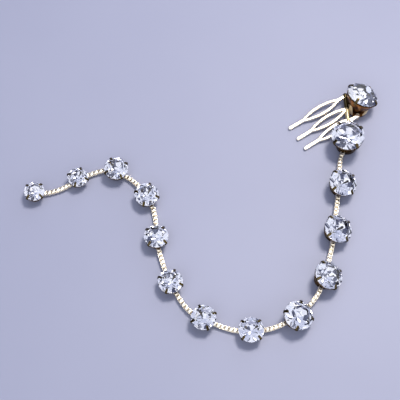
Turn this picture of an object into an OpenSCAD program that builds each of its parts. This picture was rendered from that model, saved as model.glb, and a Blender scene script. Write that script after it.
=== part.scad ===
// A small hair comb with a strand of round crystals, laid on a flat surface in an S curve.
// X runs along the longer side of the layout, Y across it, and Z is up from the surface.
// The origin is on the surface, in the middle of the whole layout.

/* [Stones] */
// Diameter of the two stones on the comb
comb_stone_d = 10; // [9.6:0.1:10.4]
// Diameter of the four large stones of the strand
large_stone_d = 8.5; // [8.2:0.1:8.8]
// Diameter of the six middle stones
middle_stone_d = 7.2; // [6.9:0.1:7.5]
// Diameter of the two stones at the free end
small_stone_d = 6.1; // [5.8:0.1:6.4]
// Width of the table, as a share of the stone's diameter
table_share = 0.62; // [0.55:0.01:0.64]
// Depth of the pavilion below the girdle, as a share of the diameter
pavilion_share = 0.43; // [0.4:0.01:0.45]
// Angle of the crown's main facets
crown_angle = 40; // [34:1:42]
// Thickness of the girdle
girdle_t = 0.16; // [0.1:0.02:0.2]

/* [Settings] */
// Thickness of the setting's wall
wall = 0.35; // [0.3:0.05:0.4]
// Radius of the collar that the setting stands on, as a share of the stone's diameter
collar_share = 0.32; // [0.3:0.01:0.34]
// Extra height of the two settings on the comb
comb_setting_extra = 1.5; // [1.2:0.1:1.6]
// Length of the part of a prong that lies on the crown
prong_reach = 0.95; // [0.6:0.05:1.1]
// Thickness of a prong
prong_t = 0.27; // [0.25:0.01:0.35]
// Clear space between a stone and its metal
stone_gap = 0.1; // [0.08:0.01:0.12]

/* [Chain] */
// Width and height of the box chain
chain_w = 1.3; // [1.25:0.05:1.35]
// Width of the strip that each link is bent from
strip_w = 0.76; // [0.6:0.02:0.76]
// Thickness of that strip
strip_t = 0.12; // [0.1:0.01:0.12]
// Distance from one link to the next, before it is fitted to each length
link_pitch = 0.65; // [0.63:0.01:0.68]
// Clear space between two links where one hooks into the other
link_gap = 0.15; // [0.15:0.01:0.16]
// Height of the chain's middle where it joins a setting
bail_z = 0.9; // [0.85:0.05:1]
// How far the curve's handles are lowered, so that the chain dips between two settings
sag = 0.25; // [0:0.05:0.25]

/* [Comb] */
// Length of a tooth, from its root to its tip
tooth_l = 19.9; // [18:0.1:22]
// Distance between two teeth
tooth_pitch = 3.87; // [3.8:0.01:4.2]
// Greatest width of a tooth's leaf
leaf_w = 3.6; // [3.3:0.1:3.7]
// Width of the slot in the leaf
slot_w = 1.5; // [1.3:0.05:1.7]
// Length of the slot
slot_l = 10.5; // [9:0.1:11]
// Width of the round-ended stem
stem_w = 1.2; // [1:0.05:1.3]
// Thickness of the teeth
plate_t = 0.9; // [0.8:0.05:1]
// Angle at which the comb lies, its tips on the surface
comb_tilt = 4.9; // [4.5:0.1:5.5]
// Angle by which the outermost tooth is bent away from the others
splay = 1.5; // [0:0.1:2]
// Diameter of the rod that joins the teeth
spine_d = 1.4; // [1.2:0.1:1.5]

/* [First setting] */
// Outer radius of its level ring
ring_r = 3.2; // [3:0.1:3.4]
// Height of that ring
ring_h = 1; // [0.8:0.1:1.2]
// Height of the band that leans with the stone
band_h = 2.6; // [1.6:0.1:2.8]
// Width of the legs between the ring and the band
leg_w = 0.9; // [0.7:0.1:1.1]

/* [Hidden] */

// One row for each stone, from the comb to the free end: where the foot of its setting
// stands (x, y), the stone's diameter, how far it leans and towards which direction,
// and the directions in which the chain arrives and leaves, all directions from +X.
strand = [
    // x      y      diameter         lean toward arrive leave
    [ 48.0,  31.0, comb_stone_d,       25,    42,   -81,   -81],
    [ 44.8,  18.1, comb_stone_d,        4,   150,   -93,  -115],
    [ 41.4,   3.7, large_stone_d,      13,   -10,   -93,  -101],
    [ 38.9, -11.1, large_stone_d,      16,    -8,   -98,  -100],
    [ 35.1, -25.7, large_stone_d,      20,     8,  -108,  -113],
    [ 26.5, -37.2, large_stone_d,      14,    -6,  -140,  -152],
    [ 14.4, -40.9, middle_stone_d,      5,  -120,  -175,  -183],
    [  1.0, -37.3, middle_stone_d,      5,   -92,  -203,  -208],
    [ -8.4, -26.9, middle_stone_d,      0,     0,  -240,  -248],
    [-12.8, -13.4, middle_stone_d,      4,    63,  -256,  -268],
    [-15.8,   0.3, middle_stone_d,      4,   -72,  -242,  -236],
    [-25.3,   8.7, middle_stone_d,      4,    -9,  -207,  -186],
    [-36.7,   6.1, small_stone_d,       6,   -27,  -154,  -144],
    [-49.3,   1.3, small_stone_d,       4,    11,  -174,  -174]];

// Middle of the layout in these numbers, taken off every place so that the origin is there
middle = [1.29, -3.58];

function diameter(i) = strand[i - 1][2];
function lean(i) = strand[i - 1][3];
function toward(i) = strand[i - 1][4];
function arrive(i) = strand[i - 1][5];
function leave(i) = strand[i - 1][6];
function heading(i) = (arrive(i) + leave(i)) / 2;
// A leaning setting rests on the low side of its collar, so its foot is raised. The first
// has no collar: its numbers only place the axis of its band and its stone.
first_foot_z = -0.2;
function foot(i) = [
    strand[i - 1][0] - middle[0],
    strand[i - 1][1] - middle[1],
    i == 1 ? first_foot_z : collar_r(diameter(i)) * sin(lean(i))];

function two_digits(i) = i < 10 ? str("0", i) : str(i);
function unit(v) = v / norm(v);
function in_direction(angle) = [cos(angle), sin(angle), 0];

// A vector in the upright setting's own axes, turned as setting i leans
function leaned(i, v) =
    let (
        along = in_direction(toward(i)),
        across = in_direction(toward(i) + 90),
        a = v * along,
        b = v * across)
    along * (a * cos(lean(i)) + v[2] * sin(lean(i))) + across * b
        + [0, 0, v[2] * cos(lean(i)) - a * sin(lean(i))];

// Sizes of a setting and its stone, for a stone of diameter d
girdle_share = 0.46;
girdle_extra = 0.3;
floor_t = 0.3;
function girdle_z(d) =
    girdle_share * d + girdle_extra + (d == comb_stone_d ? comb_setting_extra : 0);
function collar_r(d) = collar_share * d;
function collar_h(d) = 0.2 * d;
function rim_z(d) = girdle_z(d) - 0.68;
function rim_r(d) = d / 2 - stone_gap;
function prong_w(d) = 0.3 + 0.065 * d;
// Outer radius of the flared cup at height z
function cup_r(d, z) =
    let (rise = (z - collar_h(d)) / (rim_z(d) - collar_h(d)))
    collar_r(d) + (rim_r(d) - collar_r(d)) * rise;

gold = [0.87, 0.70, 0.38];
bright_gold = [0.93, 0.82, 0.58];
crystal = [0.84, 0.87, 0.95];

// A brilliant cut, its girdle's middle at z = 0: table, eight kites, eight stars and
// sixteen halves on the crown, and sixteen halves and eight mains on the pavilion
module brilliant(d) {
    r = d / 2;
    crown_slope = tan(crown_angle);
    table_r = table_share * d / 2;
    crown_mid_r = (table_r + r) / 2 * 1.02;
    pavilion_mid_r = r * 0.72;
    depth = pavilion_share * d;
    half = girdle_t / 2;
    step = 22.5;
    function spot(radius, k, z) = [radius * cos(k * step), radius * sin(k * step), z];
    table = [for (k = [0 : 7]) spot(table_r, 2 * k, half + (r - table_r) * crown_slope)];
    crown = [for (k = [0 : 7])
        spot(crown_mid_r, 2 * k + 1, half + (r - crown_mid_r * cos(step)) * crown_slope)];
    upper = [for (k = [0 : 15]) spot(r, k, half)];
    lower = [for (k = [0 : 15]) spot(r, k, -half)];
    pavilion = [for (k = [0 : 7])
        spot(pavilion_mid_r, 2 * k + 1,
             -half - (depth - half) * (1 - pavilion_mid_r * cos(step) / r))];
    culet = [[0, 0, -depth]];
    // First index of each ring of points
    t = 0;
    c = 8;
    u = 16;
    l = 32;
    p = 48;
    tip = 56;
    faces = concat(
        [[for (k = [7 : -1 : 0]) t + k]],
        [for (k = [0 : 7]) [t + k, t + (k + 1) % 8, c + k]],
        [for (k = [0 : 7]) [t + k, c + k, u + 2 * k]],
        [for (k = [0 : 7]) [t + k, u + 2 * k, c + (k + 7) % 8]],
        [for (k = [0 : 7]) [c + k, u + 2 * k + 1, u + 2 * k]],
        [for (k = [0 : 7]) [c + k, u + (2 * k + 2) % 16, u + 2 * k + 1]],
        [for (k = [0 : 15]) [u + k, u + (k + 1) % 16, l + (k + 1) % 16, l + k]],
        [for (k = [0 : 7]) [p + k, l + 2 * k, l + 2 * k + 1]],
        [for (k = [0 : 7]) [p + k, l + 2 * k + 1, l + (2 * k + 2) % 16]],
        [for (k = [0 : 7]) [tip, l + 2 * k, p + k]],
        [for (k = [0 : 7]) [tip, p + (k + 7) % 8, l + 2 * k]]);
    polyhedron(concat(table, crown, upper, lower, pavilion, culet), faces);
}

// Puts what is drawn upright at the origin where stone i stands
module stand(i) {
    translate(foot(i))
        rotate([0, 0, toward(i)]) rotate([0, lean(i), 0]) rotate([0, 0, -toward(i)])
            children();
}

module stone(i) {
    color(crystal) stand(i) rotate([0, 0, heading(i)])
        translate([0, 0, girdle_z(diameter(i))]) brilliant(diameter(i));
}

// Collar, floor with a hole, and flared cup, turned from one outline
module cup(d) {
    hole_r = 0.14 * d;
    rotate_extrude($fn = 64)
        polygon([
            [hole_r, 0], [collar_r(d), 0], [collar_r(d), collar_h(d)],
            [rim_r(d), rim_z(d)], [rim_r(d) - wall, rim_z(d)],
            [collar_r(d) - wall, collar_h(d) + wall / 3], [collar_r(d) - wall, floor_t],
            [hole_r, floor_t]]);
}

// Lowest edge of the window on side k of setting i, which is as a rule the top of the base
// ring. Side 0 faces the next stone and side 2 the one before, and there the window starts
// above what is soldered on: a bail, or on setting 2 the comb's bar.
bar_top = 2.2;
function window_low(i, k) =
    k == 2 && i == 2 ? bar_top + 0.2 :
    (k == 0 && i > 1 && i < 14) || (k == 2 && i > 2) ? bail_z + strip_w / 2 + 0.25 :
    0.1 * diameter(i);

// The opening between two prongs, cut outwards along +X
module window(d, low_z) {
    low_w = 0.34 * d;
    high_w = 0.46 * d;
    high_z = rim_z(d) - 0.15 * d;
    least_h = 0.45;
    if (high_z - low_z > least_h)
        rotate([90, 0, 90])
            linear_extrude(height = d)
                polygon([[-low_w / 2, low_z], [low_w / 2, low_z], [high_w / 2, high_z],
                         [-high_w / 2, high_z]]);
}

// One prong, standing on +X: it rises from the cup past the girdle and folds over the crown
module prong(d) {
    r = d / 2;
    z = girdle_z(d);
    slope = tan(crown_angle);
    inner = r + stone_gap;
    outer = inner + prong_t;
    tip_r = r - prong_reach;
    // Lowest line over the crown that keeps the gap to its main facet
    function over(radius) = z + girdle_t / 2 + (r - radius) * slope + stone_gap / cos(crown_angle);
    low_z = rim_z(d) - 0.8;
    shoulder = over(outer) + prong_t / cos(crown_angle);
    translate([0, prong_w(d) / 2, 0]) rotate([90, 0, 0])
        linear_extrude(height = prong_w(d))
            polygon([
                [inner, over(inner)], [inner, z - 0.25], [rim_r(d) - wall + 0.1, rim_z(d) - 0.05],
                [cup_r(d, low_z) - wall / 2, low_z], [cup_r(d, low_z) + 0.1, low_z],
                [outer, z - 0.3], [outer, shoulder],
                [tip_r + prong_t * sin(crown_angle), over(tip_r) + prong_t * cos(crown_angle)],
                [tip_r, over(tip_r)]]);
}

module setting_body(i) {
    d = diameter(i);
    stand(i) rotate([0, 0, heading(i)]) {
        difference() {
            cup(d);
            for (k = [0 : 3]) rotate([0, 0, 90 * k]) window(d, window_low(i, k));
        }
        for (k = [0 : 3]) rotate([0, 0, 45 + 90 * k]) prong(d);
    }
}

// A straight leg from one point to another, its broad side facing outwards
leg_t = 0.45;
module leg(from, to, out) {
    up = unit(to - from);
    side = unit(cross(up, out));
    front = cross(side, up);
    multmatrix([
        [front[0], side[0], up[0], from[0]],
        [front[1], side[1], up[1], from[1]],
        [front[2], side[2], up[2], from[2]],
        [0, 0, 0, 1]])
        translate([-leg_t / 2, -leg_w / 2, 0]) cube([leg_t, leg_w, norm(to - from)]);
}

// The first setting stands on a low ring that lies level. Four legs rise from it to a band
// that leans with the stone, and two posts solder it to the rod and to the last tooth.
ring_spot = [48.98 - middle[0], 31.15 - middle[1], 0];
ring_hole_r = 0.4;
legs_turn = -5;
posts = [[3.1, 180], [3.4, 264]]; // distance from the ring's middle and direction
post_r = 0.5;
post_h = 2;
module first_setting() {
    d = comb_stone_d;
    high = rim_z(d);
    low = high - band_h;
    low_r = rim_r(d) - 0.385 * band_h;
    translate(ring_spot) {
        rotate_extrude($fn = 64)
            polygon([[ring_hole_r, 0], [ring_r, 0], [ring_r, ring_h], [ring_r - wall, ring_h],
                     [ring_r - wall, floor_t], [ring_hole_r, floor_t]]);
        for (p = posts)
            rotate([0, 0, p[1]]) translate([p[0], 0, 0]) cylinder(h = post_h, r = post_r, $fn = 32);
    }
    stand(1) rotate([0, 0, heading(1)]) {
        rotate_extrude($fn = 64)
            polygon([[low_r, low], [rim_r(d), high], [rim_r(d) - wall, high],
                     [low_r - wall, low]]);
        for (k = [0 : 3]) rotate([0, 0, 45 + 90 * k]) prong(d);
    }
    for (k = [0 : 3]) {
        out = in_direction(legs_turn + 45 + 90 * k);
        leg(ring_spot + (ring_r - wall / 2) * out + [0, 0, 0.6],
            foot(1) + leaned(1, (low_r - wall / 4) * out + [0, 0, low + 0.3]), out);
    }
}

// One link: a rectangular loop of flat strip, its length along X, lying flat
module link(length) {
    difference() {
        cube([length, chain_w, strip_w], center = true);
        cube([length - 2 * strip_t, chain_w - 2 * strip_t, 2 * strip_w], center = true);
    }
}

// The chain from stone i to stone i + 1 follows a cubic curve from bail to bail. A bail is
// a link that is soldered into the collar's wall.
bail_depth = 0.2;
nominal_link = link_pitch + 2 * strip_t + link_gap;
function bail_reach(i) = collar_r(diameter(i)) - bail_depth + nominal_link / 2;
function bail_spot(i, angle) =
    foot(i) + leaned(i, bail_reach(i) * in_direction(angle) + [0, 0, bail_z]);
// The chain keeps clear of the surface if none of the curve's four points is lower than this
lowest_middle = chain_w / 2 + 0.08;
function kept_up(v) = [v[0], v[1], max(v[2] - sag, lowest_middle)];
function handles(i) =
    let (
        start = bail_spot(i, leave(i)),
        end = bail_spot(i + 1, arrive(i + 1) + 180),
        h = norm(end - start) / 3)
    [start,
     kept_up(start + h * leaned(i, in_direction(leave(i)))),
     kept_up(end - h * leaned(i + 1, in_direction(arrive(i + 1)))),
     end];
function curve_point(h, s) =
    pow(1 - s, 3) * h[0] + 3 * s * pow(1 - s, 2) * h[1] + 3 * s * s * (1 - s) * h[2]
        + pow(s, 3) * h[3];
// Length of the curve up to each of its samples, as pairs of length and parameter
curve_steps = 60;
function walked(h, k = 0, total = 0) =
    k == curve_steps ? [[total, 1]] :
    concat([[total, k / curve_steps]],
           walked(h, k + 1, total + norm(curve_point(h, (k + 1) / curve_steps)
                                         - curve_point(h, k / curve_steps))));
function curve_length(i) = walked(handles(i))[curve_steps][0];
// Whole pitches from bail to bail: an even number, so that both bails lie flat
function pitches(i) = 2 * round(curve_length(i) / link_pitch / 2);
function fitted_pitch(i) = curve_length(i) / pitches(i);
function fitted_link(i) = fitted_pitch(i) + 2 * strip_t + link_gap;

// Link k of length i: bail for the first and last k, free for the others. Odd links stand
// on edge. Each link's long axis joins the two curve points half a link before and after.
module placed_link(i, k) {
    h = handles(i);
    table = walked(h);
    total = curve_length(i);
    at = k * fitted_pitch(i);
    reach = fitted_link(i) / 2;
    function along(distance) = curve_point(h, lookup(distance, table));
    back = along(max(0, at - reach));
    front = along(min(total, at + reach));
    forward = unit(front - back);
    share = at / total;
    tipped = leaned(i, [0, 0, 1]) * (1 - share) + leaned(i + 1, [0, 0, 1]) * share;
    side = unit(cross(tipped, forward));
    up = cross(forward, side);
    place = along(at);
    multmatrix([
        [forward[0], side[0], up[0], place[0]],
        [forward[1], side[1], up[1], place[1]],
        [forward[2], side[2], up[2], place[2]],
        [0, 0, 0, 1]])
        rotate([k % 2 * 90, 0, 0]) link(fitted_link(i));
}

module chain(i) {
    color(bright_gold) for (k = [1 : pitches(i) - 1]) placed_link(i, k);
}

// Bails of setting i: the start of the length that leaves it, the end of the one that arrives
module bails(i) {
    if (i < 14) placed_link(i, 0);
    if (i > 2) placed_link(i - 1, pitches(i - 1));
}

module setting(i) {
    color(gold) {
        setting_body(i);
        bails(i);
    }
}

// Two equal arcs that meet in points at both ends, its length along X
module leaf(length, width) {
    radius = (pow(length / 2, 2) + pow(width / 2, 2)) / width;
    intersection() {
        translate([0, radius - width / 2]) circle(radius, $fn = 180);
        translate([0, width / 2 - radius]) circle(radius, $fn = 180);
    }
}

slot_to_tip = 6.6;
leaf_l = slot_l + 5;
module tooth(root_x) {
    slot_x = tooth_l - slot_to_tip - slot_l / 2;
    difference() {
        union() {
            translate([slot_x, 0]) leaf(leaf_l, leaf_w);
            translate([root_x, -stem_w / 2]) square([tooth_l - root_x - stem_w / 2, stem_w]);
            translate([tooth_l - stem_w / 2, 0]) circle(d = stem_w, $fn = 32);
        }
        translate([slot_x, 0]) leaf(slot_l, slot_w);
    }
}

// Where the middle tooth has its root, and the direction of the teeth
comb_root = [46.4 - middle[0], 30.6 - middle[1], 1.7];
comb_direction = 212.3;
// The rod crosses the roots at a slant: its axis meets the middle tooth at spine_x, and
// reaches further towards the tips by spine_slope for each millimetre across the teeth
spine_x = 1.19;
spine_slope = 0.57;
function spine_at(k) = [spine_x + spine_slope * k * tooth_pitch, k * tooth_pitch];
last_root_x = -0.45;
// The hidden bar that joins the rod's end to the second setting, in the plate's own plane
bar_start = spine_at(1);
bar_w = 1.6;

// The rod along Z, with a knob around each end of this length
module rod(length) {
    r = spine_d / 2;
    half = [[0.35, 0.85], [r + 0.1, 0.5], [r + 0.1, -0.4], [r, -0.6]];
    rotate_extrude($fn = 48)
        polygon(concat(
            [[0, length / 2 + half[0][1]]],
            [for (p = half) [p[0], length / 2 + p[1]]],
            [for (k = [3 : -1 : 0]) [half[k][0], -length / 2 - half[k][1]]],
            [[0, -length / 2 - half[0][1]]]));
}

module comb_plate() {
    turn = comb_direction;
    away = foot(2) - comb_root;
    bar_end = [away * in_direction(turn), away * in_direction(turn + 90)];
    bar = bar_end - bar_start;
    translate(comb_root) rotate([0, 0, turn]) rotate([0, comb_tilt, 0])
        union() {
            linear_extrude(height = plate_t) {
                for (k = [-1 : 1])
                    translate([0, k * tooth_pitch]) rotate([0, 0, k < 0 ? -splay : 0])
                        tooth(k > 0 ? last_root_x : spine_at(k)[0]);
                translate(bar_start) rotate([0, 0, atan2(bar[1], bar[0])])
                    translate([0, -bar_w / 2])
                        square([norm(bar) - collar_r(comb_stone_d) + wall / 2, bar_w]);
            }
            translate([spine_x, 0, plate_t / 2]) rotate([0, 0, -atan(spine_slope)])
                rotate([90, 0, 0]) rod(norm(spine_at(1) - spine_at(-1)));
        }
}

module comb() {
    color(gold) {
        comb_plate();
        first_setting();
        setting_body(2);
        bails(2);
    }
}

comb();
for (i = [1 : 14]) stone(i);
for (i = [3 : 14]) setting(i);
for (i = [2 : 13])
    chain(i);
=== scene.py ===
import math

import bmesh
import bpy
import numpy as np
from mathutils import Matrix, Vector


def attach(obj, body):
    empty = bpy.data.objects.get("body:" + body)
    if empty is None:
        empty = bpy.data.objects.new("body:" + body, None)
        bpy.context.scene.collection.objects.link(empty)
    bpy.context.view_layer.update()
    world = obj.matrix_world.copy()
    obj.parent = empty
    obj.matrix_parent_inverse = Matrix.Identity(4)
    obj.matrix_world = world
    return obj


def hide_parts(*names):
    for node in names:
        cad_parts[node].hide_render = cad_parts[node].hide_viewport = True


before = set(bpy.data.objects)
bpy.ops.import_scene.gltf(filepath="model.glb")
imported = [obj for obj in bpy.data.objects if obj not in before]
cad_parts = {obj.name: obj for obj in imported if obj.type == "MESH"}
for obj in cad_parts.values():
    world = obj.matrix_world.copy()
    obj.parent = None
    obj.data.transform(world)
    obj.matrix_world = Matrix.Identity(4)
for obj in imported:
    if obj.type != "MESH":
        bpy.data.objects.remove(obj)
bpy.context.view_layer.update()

mm = 0.001  # lengths below are in millimetres until a mesh is made
weldDistance = 0.0005 * mm  # points closer than this become one
sharpAngle = math.radians(50)  # edges turned further than this stay crisp

# Strand: one row for each stone, from the comb to the free end. The foot of its setting
# (x, y), its diameter, how far it leans and towards where, and the directions in which the
# chain arrives and leaves, in degrees from +X.
strand = {
    "middle": np.array([1.29, -3.58, 0.0]),  # of the layout, where the frame has its origin
    "collarShare": 0.32,  # a setting's foot: its radius as a share of the stone's diameter
    "firstLift": -0.2,
    "columns": ("x", "y", "diameter", "lean", "toward", "arrive", "leave"),
    "rows": [
        (48.0, 31.0, 10.0, 25, 42, -81, -81),
        (44.8, 18.1, 10.0, 4, 150, -93, -115),
        (41.4, 3.7, 8.5, 13, -10, -93, -101),
        (38.9, -11.1, 8.5, 16, -8, -98, -100),
        (35.1, -25.7, 8.5, 20, 8, -108, -113),
        (26.5, -37.2, 8.5, 14, -6, -140, -152),
        (14.4, -40.9, 7.2, 5, -120, -175, -183),
        (1.0, -37.3, 7.2, 5, -92, -203, -208),
        (-8.4, -26.9, 7.2, 0, 0, -240, -248),
        (-12.8, -13.4, 7.2, 4, 63, -256, -268),
        (-15.8, 0.3, 7.2, 4, -72, -242, -236),
        (-25.3, 8.7, 7.2, 4, -9, -207, -186),
        (-36.7, 6.1, 6.1, 6, -27, -154, -144),
        (-49.3, 1.3, 6.1, 4, 11, -174, -174),
    ],
}
stones = [dict(zip(strand["columns"], row), number=n)
          for n, row in enumerate(strand["rows"], 1)]


def rotation(angle, axis):  # matrix of a turn by an angle in degrees
    return np.array(Matrix.Rotation(math.radians(angle), 3, axis))


def direction(angle):  # level vector of length 1, its angle from +X in degrees
    return np.array([math.cos(math.radians(angle)), math.sin(math.radians(angle)), 0.0])


def unit(vectors):  # each divided by its own length
    return vectors / np.linalg.norm(vectors, axis=-1, keepdims=True)


def leaning(stone):  # the turn that tips an upright setting over towards one side
    toward = stone["toward"]
    return rotation(toward, "Z") @ rotation(stone["lean"], "Y") @ rotation(-toward, "Z")


def collarRadius(diameter):
    return strand["collarShare"] * diameter


def footOf(stone):
    # A leaning setting rests on its collar's low side, so its foot is raised. The first has
    # no collar: its foot only places the axis of its band and its stone.
    lift = collarRadius(stone["diameter"]) * math.sin(math.radians(stone["lean"]))
    if stone["number"] == 1:
        lift = strand["firstLift"]
    return np.array([stone["x"], stone["y"], lift]) - strand["middle"]


def standing(stone, points):
    # From the setting's own axes, with its X along the strand, to its place
    heading = (stone["arrive"] + stone["leave"]) / 2
    return footOf(stone) + points @ (leaning(stone) @ rotation(heading, "Z")).T


# Shapes are pairs: an array of points, and a list of index arrays with the faces.

def gridFaces(rows, columns, wrapRows=False):
    # Quads between neighbours on a grid whose columns run round and close, and whose last
    # row may join the first
    r, c = np.meshgrid(np.arange(rows if wrapRows else rows - 1), np.arange(columns),
                       indexing="ij")
    below, beside = (r + 1) % rows, (c + 1) % columns
    return np.stack([r * columns + c, r * columns + beside, below * columns + beside,
                     below * columns + c], -1).reshape(-1, 4)


def tube(rings):
    # Skin over a row of rings, each end closed with a fan to the ring's middle
    rows, columns = rings.shape[:2]
    here = np.arange(columns)
    after, last = (here + 1) % columns, (rows - 1) * columns
    points = np.vstack([rings.reshape(-1, 3), rings[0].mean(0), rings[-1].mean(0)])
    tip = np.full(columns, rows * columns)
    return points, [gridFaces(rows, columns), np.stack([tip, after, here], -1),
                    np.stack([tip + 1, last + here, last + after], -1)]


def joined(shapes):  # several shapes as one
    points, faces, count = [], [], 0
    for shapePoints, shapeFaces in shapes:
        points.append(shapePoints)
        faces += [f + count for f in shapeFaces]
        count += len(shapePoints)
    return np.vstack(points), faces


def roundedSection(width, height, count, power=3.0):
    # Superellipse: across is half the width times cos to the power 2/n, up likewise with sin
    a = (np.arange(count) + 0.5) * 2 * math.pi / count
    cos, sin = np.cos(a), np.sin(a)
    return np.stack([width / 2 * np.sign(cos) * np.abs(cos) ** (2 / power),
                     height / 2 * np.sign(sin) * np.abs(sin) ** (2 / power)], -1)


def roundedPath(corners, radii, steps=6):
    # Straight stretches joined by arcs: at each inner corner the arc of the given radius
    # that touches both sides, sampled at even angles
    path = [corners[0]]
    for before, corner, after, radius in zip(corners, corners[1:], corners[2:], radii):
        back, ahead = unit(before - corner), unit(after - corner)
        half = math.acos(np.clip(back @ ahead, -1, 1)) / 2
        centre = corner + unit(back + ahead) * radius / math.sin(half)
        first = corner + back * radius / math.tan(half) - centre
        final = corner + ahead * radius / math.tan(half) - centre
        sweep = math.pi - 2 * half
        share = np.linspace(0, 1, steps)[:, None]
        path += list(centre + (np.sin((1 - share) * sweep) * first
                               + np.sin(share * sweep) * final) / math.sin(sweep))
    return np.array(path + [corners[-1]])


def resampled(path, places):  # points at the given shares of a path's length
    lengths = np.concatenate([[0], np.cumsum(np.linalg.norm(np.diff(path, axis=0), axis=1))])
    at = places * lengths[-1]
    return np.stack([np.interp(at, lengths, path[:, k]) for k in range(path.shape[1])], -1)


def piece(name, shape, materials, replaced, closed=True, smooth=True, flags=None):
    # Makes a shape an object of the comb. Flags give each face the number of its material.
    points, faces = shape
    mesh = bpy.data.meshes.new(name)
    corners = [f for group in faces for f in group.tolist()]
    mesh.from_pydata((points * mm).tolist(), [], corners)
    if closed:
        work = bmesh.new()
        work.from_mesh(mesh)
        bmesh.ops.remove_doubles(work, verts=work.verts, dist=weldDistance)
        bmesh.ops.recalc_face_normals(work, faces=work.faces)
        work.to_mesh(mesh)
        work.free()
    for material in materials:
        mesh.materials.append(material)
    if flags is not None:
        mesh.polygons.foreach_set("material_index", flags)
    mesh.polygons.foreach_set("use_smooth", [smooth] * len(mesh.polygons))
    if smooth:
        mesh.set_sharp_from_angle(angle=sharpAngle)
    item = bpy.data.objects.new(name, mesh)
    bpy.context.scene.collection.objects.link(item)
    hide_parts(replaced)
    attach(item, "root")
    return item


# Materials

def linearColour(hexColour):  # sRGB hex to linear red, green, blue and alpha
    parts = [int(hexColour[k:k + 2], 16) / 255 for k in (1, 3, 5)]
    return [p / 12.92 if p <= 0.04045 else ((p + 0.055) / 1.055) ** 2.4 for p in parts] + [1.0]


def addNode(tree, kind, settings=None, inputs=None):
    # Adds a node with its settings; each input is given a value, or a socket to link
    node = tree.nodes.new(kind)
    for key, value in (settings or {}).items():
        setattr(node, key, value)
    for key, value in (inputs or {}).items():
        if isinstance(value, bpy.types.NodeSocket):
            tree.links.new(value, node.inputs[key])
        else:
            node.inputs[key].default_value = value
    return node


def newMaterial(name):
    material = bpy.data.materials.new(name)
    material.use_nodes = True
    tree = material.node_tree
    tree.nodes.clear()
    shader = addNode(tree, "ShaderNodeBsdfPrincipled")
    addNode(tree, "ShaderNodeOutputMaterial", inputs={"Surface": shader.outputs[0]})
    where = addNode(tree, "ShaderNodeTexCoord").outputs["Object"]
    return material, tree, shader, where


def goldPlate(name, bright, deep, rough, smudge):
    # Gold plate over brass. Its tone shifts over some 3 mm where the plating is thinner, and
    # finger marks with ridges about 1.2 mm apart, coarser than real ones, smudge the polish,
    # which gives the eye soft breaks in each reflection.
    material, tree, shader, where = newMaterial(name)
    tone = addNode(tree, "ShaderNodeTexNoise", inputs={
        "Vector": where, "Scale": 1 / (3.0 * mm), "Detail": 3.0, "Roughness": 0.6})
    colours = addNode(tree, "ShaderNodeMix", {"data_type": "RGBA"}, {
        "Factor": tone.outputs["Fac"], "A": linearColour(bright), "B": linearColour(deep)})
    marks = addNode(tree, "ShaderNodeTexNoise", inputs={
        "Vector": where, "Scale": 1 / (1.2 * mm), "Detail": 4.0, "Roughness": 0.7})
    polish = addNode(tree, "ShaderNodeMapRange", inputs={
        "Value": marks.outputs["Fac"], "From Min": 0.3, "From Max": 0.7,
        "To Min": rough, "To Max": rough + smudge})
    # Tool marks 0.15 mm apart, as coarse as they must be to show
    grain = addNode(tree, "ShaderNodeTexNoise", inputs={
        "Vector": where, "Scale": 1 / (0.15 * mm), "Detail": 2.0})
    relief = addNode(tree, "ShaderNodeBump", inputs={
        "Height": grain.outputs["Fac"], "Strength": 0.12, "Distance": 0.02 * mm})
    tree.links.new(colours.outputs["Result"], shader.inputs["Base Color"])
    tree.links.new(polish.outputs["Result"], shader.inputs["Roughness"])
    tree.links.new(relief.outputs["Normal"], shader.inputs["Normal"])
    shader.inputs["Metallic"].default_value = 1.0
    return material


def leadCrystal():
    # Lead crystal, ground and polished: clear with a cool breath of colour, and bends light
    # strongly, so each facet shows another piece of the foil behind it
    material, tree, shader, where = newMaterial("lead crystal, polished")
    dust = addNode(tree, "ShaderNodeTexNoise", inputs={
        "Vector": where, "Scale": 1 / (0.8 * mm), "Detail": 3.0})
    haze = addNode(tree, "ShaderNodeMapRange", inputs={
        "Value": dust.outputs["Fac"], "From Min": 0.55, "From Max": 0.8,
        "To Min": 0.0, "To Max": 0.03})
    tree.links.new(haze.outputs["Result"], shader.inputs["Roughness"])
    shader.inputs["Base Color"].default_value = linearColour("#fcfcff")
    shader.inputs["Transmission Weight"].default_value = 1.0
    shader.inputs["IOR"].default_value = 1.56
    return material


def silverFoil():
    # Silver mirror on the pavilion, laid on by evaporation: bright and faintly uneven
    material, tree, shader, where = newMaterial("silver foil")
    ripple = addNode(tree, "ShaderNodeTexNoise", inputs={
        "Vector": where, "Scale": 1 / (1.5 * mm), "Detail": 2.0})
    tone = addNode(tree, "ShaderNodeMix", {"data_type": "RGBA"}, {
        "Factor": ripple.outputs["Fac"], "A": linearColour("#faf9f6"),
        "B": linearColour("#ccd1e1")})
    tree.links.new(tone.outputs["Result"], shader.inputs["Base Color"])
    shader.inputs["Metallic"].default_value = 1.0
    shader.inputs["Roughness"].default_value = 0.03
    return material


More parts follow.
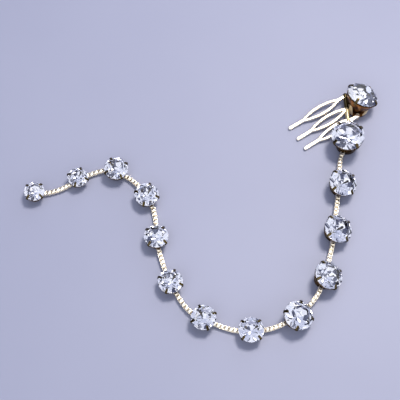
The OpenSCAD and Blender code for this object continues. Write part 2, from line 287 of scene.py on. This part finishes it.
# Comb and chain are pale and softly bright. The cups are dark as in the photograph: painted
# shade. The first stone's band and ring are a darker reddish gold, painted shade and
# reflection;
# its legs brushed and so paler. Prongs are olive-brown, painted dark reflection; the rod's
# half by the first stone is olive-brown too, painted shadow of that stone, and its other half
# is lighter, painted light.
combGold = goldPlate("polished gold plate", "#fffaee", "#fdf0d6", 0.27, 0.1)
chainGold = goldPlate("bright gold plate", "#fffaee", "#faecce", 0.24, 0.1)
cupShadeGold = goldPlate("cast gold plate, painted shade", "#5e4422", "#3c2a16", 0.16, 0.16)
bandShadeGold = goldPlate("cast gold plate, painted reddish shade and reflection", "#a86f38", "#6e431f", 0.14, 0.14)
legGold = goldPlate("brushed gold plate", "#fff3da", "#f6e2b8", 0.6, 0.1)
rodLitGold = goldPlate("gold plate, painted light on the rod", "#efe3c2", "#c9b585", 0.3, 0.15)
paintedDarkGold = goldPlate("gold plate, painted dark reflection and shadow", "#6c5e3e", "#403724", 0.12, 0.12)
crystal, foil = leadCrystal(), silverFoil()

# Camera: above the surface, looking along +Y, at the photograph's angle
cameraView = {
    "target": -Vector(strand["middle"]) * mm, "elevation": 66.0, "distance": 290 * mm,
    "lens": 87.4, "sensor": 36.0}
cameraData = bpy.data.cameras.new("camera")
cameraData.lens, cameraData.sensor_width = cameraView["lens"], cameraView["sensor"]
cameraData.clip_start, cameraData.clip_end = 0.01, 10.0
camera = bpy.data.objects.new("camera", cameraData)
elevation = math.radians(cameraView["elevation"])
back = Vector((0, -math.cos(elevation), math.sin(elevation)))
camera.location = cameraView["target"] + back * cameraView["distance"]
camera.rotation_euler = (-back).to_track_quat("-Z", "Y").to_euler()
bpy.context.scene.collection.objects.link(camera)
bpy.context.scene.camera = camera
print("camera placed")

# Crystals
cut = {
    "tableShare": 0.62, "pavilionShare": 0.43, "crownAngle": 40.0, "girdle": 0.16,
    "crownMiddle": 1.02, "pavilionMiddle": 0.72,
    "heightShare": 0.46, "lift": 0.3, "combLift": 1.8, "combStone": 9.0}


def girdleHeight(diameter):  # above the foot; the comb's two settings are taller
    lift = cut["combLift"] if diameter > cut["combStone"] else cut["lift"]
    return cut["heightShare"] * diameter + lift


def brilliant(diameter):
    # Brilliant cut, the girdle's middle at z = 0. Rings of points at every 22.5 degrees:
    # crown points lie on the cone of the kites, pavilion points on that of the mains.
    r, half = diameter / 2, cut["girdle"] / 2
    slope = math.tan(math.radians(cut["crownAngle"]))
    depth = cut["pavilionShare"] * diameter
    step = math.radians(22.5)
    tableRadius = cut["tableShare"] * r
    crownRadius = (tableRadius + r) / 2 * cut["crownMiddle"]
    pavilionRadius = r * cut["pavilionMiddle"]

    def ring(radius, first, every, count, z):
        a = (first + every * np.arange(count)) * step
        return np.stack([radius * np.cos(a), radius * np.sin(a), np.full(count, z)], -1)

    points = np.vstack([
        ring(tableRadius, 0, 2, 8, half + (r - tableRadius) * slope),
        ring(crownRadius, 1, 2, 8, half + (r - crownRadius * math.cos(step)) * slope),
        ring(r, 0, 1, 16, half), ring(r, 0, 1, 16, -half),
        ring(pavilionRadius, 1, 2, 8,
             -half - (depth - half) * (1 - pavilionRadius * math.cos(step) / r)),
        [[0, 0, -depth]]])
    k, all16 = np.arange(8), np.arange(16)
    nextK, lastK = (k + 1) % 8, (k + 7) % 8
    crown, upper, lower, pavilion, culet = 8, 16, 32, 48, 56
    faces = [
        k[None, :],
        np.stack([crown + k, k, nextK], -1),
        np.stack([k, crown + lastK, upper + 2 * k, crown + k], -1),
        np.stack([crown + k, upper + 2 * k, upper + 2 * k + 1], -1),
        np.stack([crown + k, upper + 2 * k + 1, upper + (2 * k + 2) % 16], -1),
        np.stack([upper + all16, lower + all16, lower + (all16 + 1) % 16,
                  upper + (all16 + 1) % 16], -1),
        np.stack([pavilion + k, lower + 2 * k + 1, lower + 2 * k], -1),
        np.stack([pavilion + k, lower + (2 * k + 2) % 16, lower + 2 * k + 1], -1),
        np.stack([culet + 0 * k, pavilion + k, lower + 2 * k, pavilion + lastK], -1)]
    clear = sum(len(f) for f in faces[:6])
    foiled = sum(len(f) for f in faces[6:])
    return (points, faces), [0] * clear + [1] * foiled


for stone in stones:
    (points, faces), flags = brilliant(stone["diameter"])
    points = points + [0, 0, girdleHeight(stone["diameter"])]
    name = "%02d" % stone["number"]
    piece("crystal_" + name, (standing(stone, points), faces), [crystal, foil],
          "stone_" + name, smooth=False, flags=flags)
print("crystals cut:", len(stones))

# Box chain. The solids keep 0.1 mm between links; here the strip is drawn wider and each
# link longer, because the photograph shows hardly a gap.
chain = {
    "width": 1.3, "strip": 0.76, "thickness": 0.12, "pitch": 0.65, "gap": 0.15,
    "bailHeight": 0.9, "bailDepth": 0.2, "sag": 0.25, "clear": 0.08, "corner": 0.07,
    "edge": 0.03, "curveSteps": 61, "shownStrip": 1.0, "shownSlack": 0.14}
nominalLink = chain["pitch"] + 2 * chain["thickness"] + chain["gap"]


def bailSpot(stone, angle):  # middle of the bail on the side that faces the given angle
    reach = collarRadius(stone["diameter"]) - chain["bailDepth"] + nominalLink / 2
    out = reach * direction(angle) + np.array([0, 0, chain["bailHeight"]])
    return footOf(stone) + leaning(stone) @ out


def placedLinks(stone, after):
    # Cubic curve from bail to bail, walked in equal pitches. Each link's long axis joins the
    # curve points half a link before and after its middle, and every other link is turned
    # by a quarter about that axis. Gives middles, axes (n, 3, 3) and the link's length.
    start = bailSpot(stone, stone["leave"])
    end = bailSpot(after, after["arrive"] + 180)
    reach = np.linalg.norm(end - start) / 3
    handles = np.array([start, start + reach * leaning(stone) @ direction(stone["leave"]),
                        end - reach * leaning(after) @ direction(after["arrive"]), end])
    lowest = chain["width"] / 2 + chain["clear"]
    handles[1:3, 2] = np.maximum(handles[1:3, 2] - chain["sag"], lowest)

    def curve(s):
        s = s[:, None]
        return ((1 - s) ** 3 * handles[0] + 3 * s * (1 - s) ** 2 * handles[1]
                + 3 * s ** 2 * (1 - s) * handles[2] + s ** 3 * handles[3])

    steps = np.linspace(0, 1, chain["curveSteps"])
    walked = np.concatenate([[0], np.cumsum(np.linalg.norm(np.diff(curve(steps), axis=0),
                                                            axis=1))])
    total = walked[-1]
    count = 2 * math.floor(total / chain["pitch"] / 2 + 0.5)
    length = total / count + 2 * chain["thickness"] + chain["gap"]
    at = np.linspace(0, total, count + 1)

    def along(distance):
        return curve(np.interp(np.clip(distance, 0, total), walked, steps))

    forward = unit(along(at + length / 2) - along(at - length / 2))
    share = (at / total)[:, None]
    tipped = leaning(stone)[:, 2] * (1 - share) + leaning(after)[:, 2] * share
    side = unit(np.cross(tipped, forward))
    up = np.cross(forward, side)
    odd = (np.arange(count + 1) % 2 == 1)[:, None]
    axes = np.stack([forward, np.where(odd, up, side), np.where(odd, -side, up)], 1)
    return along(at), axes, length


def linkShape(length):
    # Rectangular loop with chamfered corners, and a flat strip eight-sided in section, its
    # edges softened, carried along it with its width across the loop
    t, corner = chain["thickness"], chain["corner"]
    halfLength, halfWidth = (length - t) / 2, (chain["width"] - t) / 2
    turn = np.radians(np.array([15, 75])[None, :] + 90 * np.arange(4)[:, None]).ravel()
    signs = np.repeat([[1, 1], [-1, 1], [-1, -1], [1, -1]], 2, axis=0)
    out = np.stack([np.cos(turn), np.sin(turn)], -1)
    middle = signs * [halfLength - corner, halfWidth - corner] + corner * out
    half, strip, edge = t / 2, chain["shownStrip"] / 2, chain["edge"]
    section = np.array([[half, strip - edge], [half - edge, strip], [edge - half, strip],
                        [-half, strip - edge], [-half, edge - strip], [edge - half, -strip],
                        [half - edge, -strip], [half, edge - strip]])
    rings = np.concatenate([
        middle[:, None, :] + section[None, :, :1] * out[:, None, :],
        np.broadcast_to(section[None, :, 1:], (8, 8, 1))], -1)
    return rings.reshape(-1, 3), gridFaces(8, 8, wrapRows=True)


def linkRow(middles, axes, length):
    # One link carried to every middle: its points times the axes there, plus the middle
    template, faces = linkShape(length + chain["shownSlack"])
    points = middles[:, None, :] + np.einsum("pk,nkx->npx", template, axes)
    offsets = len(template) * np.arange(len(middles))[:, None, None]
    return points.reshape(-1, 3), [(faces[None] + offsets).reshape(-1, 4)]


bails = {stone["number"]: [] for stone in stones}
looseLinks = 0
for stone, after in zip(stones[1:], stones[2:]):
    middles, axes, length = placedLinks(stone, after)
    name = "%02d_%02d" % (stone["number"], after["number"])
    piece("boxChain_" + name, linkRow(middles[1:-1], axes[1:-1], length), [chainGold],
          "chain_" + name)
    bails[stone["number"]].append(linkRow(middles[:1], axes[:1], length))
    bails[after["number"]].append(linkRow(middles[-1:], axes[-1:], length))
    looseLinks += len(middles) - 2
print("chain links laid:", looseLinks)

# Settings. Shares are of the stone's diameter.
cup = {
    "wall": 0.35, "floor": 0.3, "holeShare": 0.14, "gap": 0.1, "ringShare": 0.1,
    "collarShare": 0.2, "rimDrop": 0.68, "edge": 0.09,
    "windowLow": 0.34, "windowHigh": 0.46, "windowTop": 0.15,  # widths, drop from the rim
    "leastWindow": 0.45, "overBail": 0.25, "overBar": 2.4, "rowHeight": 0.45, "snap": 0.12,
    "floorInset": 0.12, "floorEdge": 0.06, "floorLift": 0.02}


def rimHeight(diameter):  # the cup's top, under the girdle
    return girdleHeight(diameter) - cup["rimDrop"]


def cupRadius(diameter, z):  # outside of the cup: upright collar, then an even flare
    low, high = cup["collarShare"] * diameter, rimHeight(diameter)
    return np.interp(z, [low, high], [collarRadius(diameter), diameter / 2 - cup["gap"]])


def windowLow(stone, side):  # windows start at the base ring, or above what is soldered on
    number, aboveBail = stone["number"], chain["bailHeight"] + chain["strip"] / 2
    if side == 2 and number == 2:
        return cup["overBar"]
    if (side == 0 and 1 < number < len(stones)) or (side == 2 and number > 2):
        return aboveBail + cup["overBail"]
    return cup["ringShare"] * stone["diameter"]


def cupWall(stone):
    # The cup's outside as a grid: rows at heights z, columns at angles that follow the
    # slanting sides of four windows. The faces in a window that is tall enough are left out.
    d = stone["diameter"]
    ringTop, collarTop, rimTop = cup["ringShare"] * d, cup["collarShare"] * d, rimHeight(d)
    windowTop = rimTop - cup["windowTop"] * d
    levels = [0.0, ringTop, collarTop, windowTop, rimTop]
    lows = []
    for side in range(4):
        low = windowLow(stone, side)
        near = min(levels, key=lambda z: abs(z - low))
        lows.append(near if abs(near - low) < cup["snap"] else low)
        if lows[-1] not in levels and windowTop - low > cup["leastWindow"]:
            levels = sorted(levels + [lows[-1]])
    z = np.concatenate([
        np.linspace(a, b, max(2, math.ceil((b - a) / cup["rowHeight"]) + 1))[:-1]
        for a, b in zip(levels, levels[1:])] + [[rimTop]])
    radius = cupRadius(d, z)
    width = np.interp(z, [ringTop, windowTop], [cup["windowLow"] * d, cup["windowHigh"] * d])
    half = np.degrees(np.arcsin(width / 2 / radius))[:, None]
    windowColumns, legColumns = 6, 4
    window = 2 * np.arange(windowColumns) / windowColumns - 1
    leg = np.arange(legColumns) / legColumns
    angles = np.radians(np.concatenate([
        np.concatenate([90 * side + half * window,
                        90 * side + half + (90 - 2 * half) * leg], 1)
        for side in range(4)], 1))
    points = np.stack([radius[:, None] * np.cos(angles), radius[:, None] * np.sin(angles),
                       np.broadcast_to(z[:, None], angles.shape)], -1).reshape(-1, 3)
    rows, columns = angles.shape
    faces = gridFaces(rows, columns).reshape(rows - 1, columns, 4)
    middle = ((z[1:] + z[:-1]) / 2)[:, None]
    side, column = np.divmod(np.arange(columns)[None, :], windowColumns + legColumns)
    low = np.array(lows)[side]
    isOpen = ((column < windowColumns) & (middle > low) & (middle < windowTop)
              & (windowTop - low > cup["leastWindow"]))
    used, kept = np.unique(faces[~isOpen], return_inverse=True)
    return points[used], [kept.reshape(-1, 4)]


def turned(outline, columns=64):
    # A closed outline of points (r, z) turned about Z: (r cos a, r sin a, z)
    outline = np.array(outline)
    a = np.linspace(0, 2 * math.pi, columns, endpoint=False)
    points = np.stack([outline[:, :1] * np.cos(a), outline[:, :1] * np.sin(a),
                       np.broadcast_to(outline[:, 1:], (len(outline), columns))], -1)
    return points.reshape(-1, 3), [gridFaces(len(outline), columns, wrapRows=True)]


def cupFloor(diameter):
    # Flat ring round the drain hole: a rectangle with cut corners turned about the axis
    hole, rim = cup["holeShare"] * diameter, collarRadius(diameter) - cup["floorInset"]
    low, t, e = cup["floorLift"], cup["floor"], cup["floorEdge"]
    return turned([[hole, e], [hole + e, low], [rim, low], [rim, t], [hole + e, t],
                   [hole, t - e]], 48)


prongs = {
    "thickness": 0.27, "gap": 0.04, "reach": 0.95, "start": 0.8, "rise": 0.25,
    "inside": 0.05, "outside": 0.02, "upright": 0.28, "bends": [0.3, 0.5, 0.32],
    "width": 0.3, "widthShare": 0.065, "taperAt": [0, 0.35, 1], "taper": [1.2, 0.95, 0.9]}


def prong(diameter):
    # A flattened bar, rounded in section, carried up the leg, past the girdle and over the
    # crown's slope, wider at the foot, its tip rounded off as a quarter circle
    r, z = diameter / 2, girdleHeight(diameter)
    t, gap = prongs["thickness"], prongs["gap"]
    angle = math.radians(cut["crownAngle"])
    middle = r + gap + t / 2

    def over(radius):  # middle of the bar where it lies on the crown
        return (z + cut["girdle"] / 2 + (r - radius) * math.tan(angle)
                + (gap + t / 2) / math.cos(angle))

    tip = r - prongs["reach"]
    low = rimHeight(diameter) - prongs["start"]
    higher = low + prongs["rise"]
    corners = np.array([
        [cupRadius(diameter, low) - prongs["inside"], low],
        [cupRadius(diameter, higher) + prongs["outside"], higher],
        [middle, z - prongs["upright"]], [middle, over(middle)], [tip, over(tip)]])
    path = roundedPath(corners, prongs["bends"])
    width = prongs["width"] + prongs["widthShare"] * diameter
    total = np.linalg.norm(np.diff(path, axis=0), axis=1).sum()
    nose = 0.5 * width / total
    straight = np.linspace(0, 1 - nose, 18)[:-1]
    rounding = np.radians(np.linspace(0, 82, 7))  # short of 90, so the last ring has a size
    places = np.concatenate([straight, 1 - nose + nose * np.sin(rounding)])
    spots = resampled(path, places)
    tangent = unit(np.gradient(spots, axis=0))
    fade = np.concatenate([np.ones(len(straight)), np.cos(rounding)])
    widths = width * np.interp(places, prongs["taperAt"], prongs["taper"]) * fade
    section = roundedSection(1.0, 1.0, 12)
    across = section[None, :, 0] * widths[:, None]
    out = section[None, :, 1] * (t * np.sqrt(fade))[:, None]
    normal = np.stack([tangent[:, 1], -tangent[:, 0]], -1)
    rings = np.stack([spots[:, None, 0] + out * normal[:, None, 0], across,
                      spots[:, None, 1] + out * normal[:, None, 1]], -1)
    return tube(rings)


# The first setting: a low level ring, a band that leans with the stone, four legs that
# widen towards the ring, and two posts, each given by its distance and angle
first = {
    "ringSpot": np.array([48.98, 31.15, 0.0]), "ringRadius": 3.2, "ringHeight": 1.0,
    "ringHole": 0.4, "bandHeight": 2.6, "bandSlope": 0.385, "edge": 0.08,
    "legsTurn": -5, "legThickness": 0.45, "legWidth": 0.9, "legFoot": 0.7, "legTop": 0.3,
    "legFlare": np.array([2.0, 1.7, 1.4, 1.15, 1.0, 1.0]),
    "posts": ((3.1, 180), (3.4, 264)), "postRadius": 0.5, "postFoot": 0.05, "postHeight": 2.0}


def straightBar(start, end, out, widths, thickness):
    # Superellipses along the line from start to end, their broad side facing outwards,
    # at even shares of the length
    up = unit(end - start)
    side = unit(np.cross(up, out))
    front = np.cross(side, up)
    share = np.linspace(0, 1, len(widths))[:, None, None]
    section = roundedSection(1.0, thickness, 20, 5.0)
    rings = (start + share * (end - start)
             + section[None, :, :1] * np.array(widths)[:, None, None] * side
             + section[None, :, 1:] * front)
    return tube(rings)


def firstBand(d):
    # A slanting strip with cut corners turned about the stone's axis, wider at the top
    high, e, wall = rimHeight(d), first["edge"], cup["wall"]
    low, rim, slope = high - first["bandHeight"], d / 2 - cup["gap"], first["bandSlope"]
    foot = rim - slope * first["bandHeight"]
    return turned([[foot - wall + e, low], [foot - e, low], [foot + slope * e, low + e],
                   [rim - slope * e, high - e], [rim - e, high], [rim - wall + e, high],
                   [rim - wall - slope * e, high - e], [foot - wall + slope * e, low + e]])


def firstRing():
    # A shallow dish with a hole, its section an L with cut corners turned about the axis
    rim, wall, top, e = first["ringRadius"], cup["wall"], first["ringHeight"], first["edge"]
    hole, t = first["ringHole"], cup["floor"]
    return turned([[hole, e], [hole + e, 0.0], [rim - e, 0.0], [rim, e], [rim, top - e],
                   [rim - e, top], [rim - wall + e, top], [rim - wall, top - e],
                   [rim - wall, t], [hole + e, t], [hole, t - e]])


def firstFrame(stone):
    # Ring, band, legs and posts in place. A leg runs from the ring's wall to the band's.
    d, spot = stone["diameter"], first["ringSpot"] - strand["middle"]
    ringPoints, ringFaces = firstRing()
    bandPoints, bandFaces = firstBand(d)
    shapes = [(ringPoints + spot, ringFaces), (standing(stone, bandPoints), bandFaces)]
    wall, low = cup["wall"], rimHeight(d) - first["bandHeight"]
    bandRadius = d / 2 - cup["gap"] - first["bandSlope"] * first["bandHeight"]
    for k in range(4):
        out = direction(first["legsTurn"] + 45 + 90 * k)
        start = spot + (first["ringRadius"] - wall / 2) * out + [0, 0, first["legFoot"]]
        end = footOf(stone) + leaning(stone) @ ((bandRadius - wall / 4) * out
                                                + [0, 0, low + first["legTop"]])
        widths = first["legWidth"] * first["legFlare"]
        shapes.append(straightBar(start, end, out, widths, first["legThickness"]))
    for distance, angle in first["posts"]:
        out, size = direction(angle), 2 * first["postRadius"]
        start = spot + distance * out + [0, 0, first["postFoot"]]
        shapes.append(straightBar(start, start + [0, 0, first["postHeight"]], out,
                                  [size, size], size))
    return shapes


for stone in stones:
    number, d = stone["number"], stone["diameter"]
    name, replaced = "%02d" % number, "comb" if number < 3 else "setting_%02d" % number
    if number == 1:
        shapes = firstFrame(stone)
        counts = [sum(len(f) for f in faces) for points, faces in shapes]
        # Ring and band in a darker, reddish gold: painted shade and reflection; legs and posts
        # in brushed gold
        piece("frame_" + name, joined(shapes), [bandShadeGold, legGold], replaced,
              flags=np.repeat([0] * 2 + [1] * (len(shapes) - 2), counts))
    else:
        # The cup's wall in the dark gold: painted shade
        wallPoints, wallFaces = cupWall(stone)
        wall = piece("cup_" + name, (standing(stone, wallPoints), wallFaces), [cupShadeGold],
                     replaced, closed=False)
        thick = wall.modifiers.new("wall", "SOLIDIFY")
        thick.thickness, thick.offset, thick.use_even_offset = cup["wall"] * mm, -1.0, True
        soften = wall.modifiers.new("soft edges", "BEVEL")
        soften.width, soften.segments, soften.limit_method = cup["edge"] * mm, 2, "ANGLE"
        soften.angle_limit, soften.harden_normals = sharpAngle, True
    # Prongs in olive-brown gold, painted dark reflection; the cup floor in the cups' dark
    # gold, painted shade
    prongPoints, prongFaces = prong(d)
    parts = [(prongPoints @ rotation(45 + 90 * k, "Z").T, prongFaces) for k in range(4)]
    parts = parts if number == 1 else [cupFloor(d)] + parts
    parts = [(standing(stone, p), f) for p, f in parts] + bails[number]
    counts = [sum(len(f) for f in faces) for points, faces in parts]
    kinds = [0] * (number > 1) + [1] * 4 + [2] * len(bails[number])
    piece("prongs_" + name, joined(parts), [cupShadeGold, paintedDarkGold, chainGold], replaced,
          flags=np.repeat(kinds, counts))
print("settings made:", len(stones))

# Comb
comb = {
    "root": np.array([46.4, 30.6, 1.7]), "turn": 212.3, "tilt": 4.9, "thickness": 0.9,
    "length": 19.9, "pitch": 3.87, "leafWidth": 3.6, "slotWidth": 1.5, "slotLength": 10.5,
    "leafExtra": 5.0, "slotToTip": 6.6, "stem": 1.2, "round": 0.32, "roundPower": 2.2,
    "splay": -1.5, "rootNose": 0.1, "lastRoot": -0.45, "rod": 1.4, "rodAt": 1.19,
    "rodSlope": 0.57, "knobSwell": 0.1, "barWidth": 1.6}


def combPlace(points):  # from the comb's own plane, its X towards the tips, to its place
    turn = rotation(comb["turn"], "Z") @ rotation(comb["tilt"], "Y")
    return comb["root"] - strand["middle"] + points @ turn.T


def leafHalf(x, length, width):  # half the width of two equal arcs that meet in points
    radius = ((length / 2) ** 2 + (width / 2) ** 2) / width
    inside = np.clip(radius ** 2 - x ** 2, 0, None)
    return np.clip(np.sqrt(inside) - radius + width / 2, 0, None)


def rodSpot(k):  # where the slanting rod's axis meets tooth k, in the comb's own plane
    return np.array([comb["rodAt"] + comb["rodSlope"] * k * comb["pitch"], k * comb["pitch"],
                     comb["thickness"] / 2])


def toothShape(rootAt):
    # Half a tooth as a grid: x along it, share from the slot's side (or the middle line) to
    # the outer side. Top and bottom stand off the middle plane by half the thickness, rounded
    # down over the last stretch before an edge. The other half is its mirror image.
    slotMiddle = comb["length"] - comb["slotToTip"] - comb["slotLength"] / 2
    slotEnds = slotMiddle + np.array([-0.5, 0.5]) * comb["slotLength"]
    stem = comb["stem"] / 2
    tipMiddle = comb["length"] - stem
    wave = (1 - np.cos(np.linspace(0, math.pi, 30))) / 2
    x = np.concatenate([
        [rootAt - comb["rootNose"]], np.linspace(rootAt, slotEnds[0], 8)[:-1],
        slotEnds[0] + comb["slotLength"] * wave,
        np.linspace(slotEnds[1], tipMiddle, 16)[1:],
        tipMiddle + stem * np.sin(np.radians(np.linspace(0, 90, 9)))[1:]])[:, None]
    share = np.array([0, 0.04, 0.11, 0.2, 0.32, 0.5, 0.68, 0.8, 0.89, 0.96, 1.0])
    inner = leafHalf(x - slotMiddle, comb["slotLength"], comb["slotWidth"])
    leaf = leafHalf(x - slotMiddle, comb["slotLength"] + comb["leafExtra"], comb["leafWidth"])
    tip = np.sqrt(np.clip(stem ** 2 - (x - tipMiddle) ** 2, 0, None))
    outer = np.where(x > tipMiddle, tip, np.maximum(leaf, stem))
    outer[0] = 0
    y = inner + share * (outer - inner)
    slopes = [1 / np.hypot(1, np.gradient(w[:, 0], x[:, 0]))[:, None] for w in (inner, outer)]
    toOuter = np.where(x > tipMiddle, stem - np.hypot(x - tipMiddle, y),
                       (outer - y) * slopes[1])
    ends = np.minimum(np.hypot(x - slotEnds[0], y), np.hypot(x - slotEnds[1], y))
    toInner = np.where(inner > 0, (y - inner) * slopes[0], ends)
    near = np.clip(np.minimum(toOuter, toInner) / comb["round"], 0, 1)
    half, power = comb["thickness"] / 2, comb["roundPower"]
    height = half * (1 - (1 - near) ** power) ** (1 / power)
    height[0] = 0
    rows, columns = y.shape
    r, c = np.meshgrid(np.arange(rows - 1), np.arange(columns - 1), indexing="ij")
    quads = np.stack([r * columns + c, (r + 1) * columns + c, (r + 1) * columns + c + 1,
                      r * columns + c + 1], -1).reshape(-1, 4)
    sheets = [np.stack([np.broadcast_to(x, y.shape), side * y, half + face * height],
                       -1).reshape(-1, 3) for side in (1, -1) for face in (1, -1)]
    flips = [quads, quads[:, ::-1], quads[:, ::-1], quads]
    return joined([(sheet, [quad]) for sheet, quad in zip(sheets, flips)])


def roundedBar(start, end, width, height, power):
    # A bar from start to end, its section a superellipse, its ends rounded as half circles
    lengthwise = end - start
    total = np.linalg.norm(lengthwise)
    along = lengthwise / total
    across = np.array([-along[1], along[0], 0])
    turn = np.radians(np.linspace(0, 84, 8))  # short of 90, so the end rings have a size
    nose = width / 2
    places = np.concatenate([-nose * np.sin(turn[::-1]), total + nose * np.sin(turn)])
    fade = np.concatenate([np.cos(turn[::-1]), np.cos(turn)])
    section = roundedSection(width, height, 20, power)
    rings = (start + places[:, None, None] * along
             + (section[None, :, :1] * fade[:, None, None]) * across
             + (section[None, :, 1:] * np.sqrt(fade)[:, None, None]) * np.array([0, 0, 1]))
    return tube(rings)


def knobbedRod(start, end):
    # Circles along the line from start to end, wider in a knob around each end. The second
    # value is each face's half: 1 from the start to the middle, 2 from there on.
    along = unit(end - start)
    side = unit(np.cross(along, [0, 0, 1]))
    up = np.cross(side, along)
    r, total = comb["rod"] / 2, np.linalg.norm(end - start)
    wide = r + comb["knobSwell"]
    knob = np.array([  # how far past the rod's end each ring is, and its radius
        [0.85, 0.2], [0.8, 0.42], [0.6, r], [0.35, wide], [-0.25, wide], [-0.5, r + 0.03],
        [-0.65, r]])
    places = np.concatenate([-knob[:, 0], [total / 2], total + knob[::-1, 0]])
    radii = np.concatenate([knob[:, 1], [r], knob[::-1, 1]])
    columns = 24
    a = np.linspace(0, 2 * math.pi, columns, endpoint=False)
    circle = np.cos(a)[:, None] * side + np.sin(a)[:, None] * up
    rings = start + places[:, None, None] * along + radii[:, None, None] * circle
    halves = np.repeat([1, 2, 1, 2], columns * np.array([len(knob), len(knob), 1, 1]))
    return tube(rings), halves


for k in (-1, 0, 1):
    tooth, toothFaces = toothShape(comb["lastRoot"] if k > 0 else rodSpot(k)[0])
    bent = rotation(comb["splay"], "Z") if k < 0 else np.eye(3)
    shape = combPlace(tooth @ bent.T + [0, k * comb["pitch"], 0]), toothFaces
    piece("combTooth_%d" % (k + 2), shape, [combGold], "comb")
fromRoot = footOf(stones[1]) + strand["middle"] - comb["root"]
secondFoot = fromRoot @ rotation(comb["turn"], "Z")
barEnds = [rodSpot(1), np.array([secondFoot[0], secondFoot[1], comb["thickness"] / 2])]
along, collar = unit(barEnds[1] - barEnds[0]), collarRadius(stones[1]["diameter"])
barEnds[1] = barEnds[1] - along * (collar + comb["barWidth"] / 2 - cup["wall"])
# The rod's first half, by the first stone, is olive-brown: painted shadow of that stone. Its
# other half is a lighter gold: painted light.
rod, flags = knobbedRod(rodSpot(-1), rodSpot(1))
bars = joined([rod, roundedBar(*barEnds, comb["barWidth"], comb["thickness"], 4.0)])
flags = np.pad(flags, (0, sum(len(f) for f in bars[1]) - len(flags)))
piece("combRod", (combPlace(bars[0]), bars[1]), [combGold, paintedDarkGold, rodLitGold],
      "comb", flags=flags)
print("comb made: 3 teeth, rod and bar")

# Surface and light


def floorPaint():
    # Matt painted board: pale and cool, with a hardly visible mottle
    material, tree, shader, where = newMaterial("matt painted board")
    mottle = addNode(tree, "ShaderNodeTexNoise", inputs={
        "Vector": where, "Scale": 1 / (60 * mm), "Detail": 3.0})
    tone = addNode(tree, "ShaderNodeMix", {"data_type": "RGBA"}, {
        "Factor": mottle.outputs["Fac"], "A": linearColour("#7d829b"),
        "B": linearColour("#858aa2")})
    tree.links.new(tone.outputs["Result"], shader.inputs["Base Color"])
    shader.inputs["Roughness"].default_value = 0.55
    return material


floorMesh = bpy.data.meshes.new("floor")
floorReach = 1.5
corners = np.array([[-1, -1, 0], [1, -1, 0], [1, 1, 0], [-1, 1, 0]]) * floorReach
floorMesh.from_pydata(corners.tolist(), [], [(0, 1, 2, 3)])
floorMesh.materials.append(floorPaint())
floor = bpy.data.objects.new("floor", floorMesh)
bpy.context.scene.collection.objects.link(floor)

# Azimuth from +X and elevation in degrees, distance, width and height in metres,
# brightness, colour
lamps = {
    "key": (52.0, 66.0, 0.7, 0.17, 0.17, 56.0, "#fff6ea"),
    "large softbox": (-112.0, 55.0, 0.9, 1.4, 0.9, 1.28, "#ffffff"),
    "ceiling softbox": (90.0, 72.0, 0.7, 0.8, 0.6, 0.95, "#f1f4ff"),
    "back softbox": (58.0, 22.0, 0.8, 1.3, 0.55, 1.4, "#f4f6ff"),
    "low softbox": (-24.0, 25.0, 0.8, 0.75, 0.55, 1.25, "#fffdf8"),
    "front softbox": (-118.0, 15.0, 0.9, 1.1, 0.4, 1.0, "#ffffff"),
}
for name, (azimuth, height, distance, wide, high, brightness, colour) in lamps.items():
    data = bpy.data.lights.new(name, "AREA")
    data.shape, data.size, data.size_y = "RECTANGLE", wide, high
    data.energy = brightness * math.pi * wide * high  # watts for an even radiance
    data.color = linearColour(colour)[:3]
    lamp = bpy.data.objects.new(name, data)
    toLamp = Vector(direction(azimuth)) * math.cos(math.radians(height))
    toLamp.z = math.sin(math.radians(height))
    lamp.location = toLamp * distance
    lamp.rotation_euler = (-toLamp).to_track_quat("-Z", "Y").to_euler()
    bpy.context.scene.collection.objects.link(lamp)

world = bpy.data.worlds.new("room")
bpy.context.scene.world = world
world.use_nodes = True
room = world.node_tree.nodes["Background"]
room.inputs["Color"].default_value = linearColour("#8d93b4")
room.inputs["Strength"].default_value = 0.45
bpy.context.scene.view_settings.view_transform = "Standard"
print("lamps and floor set")
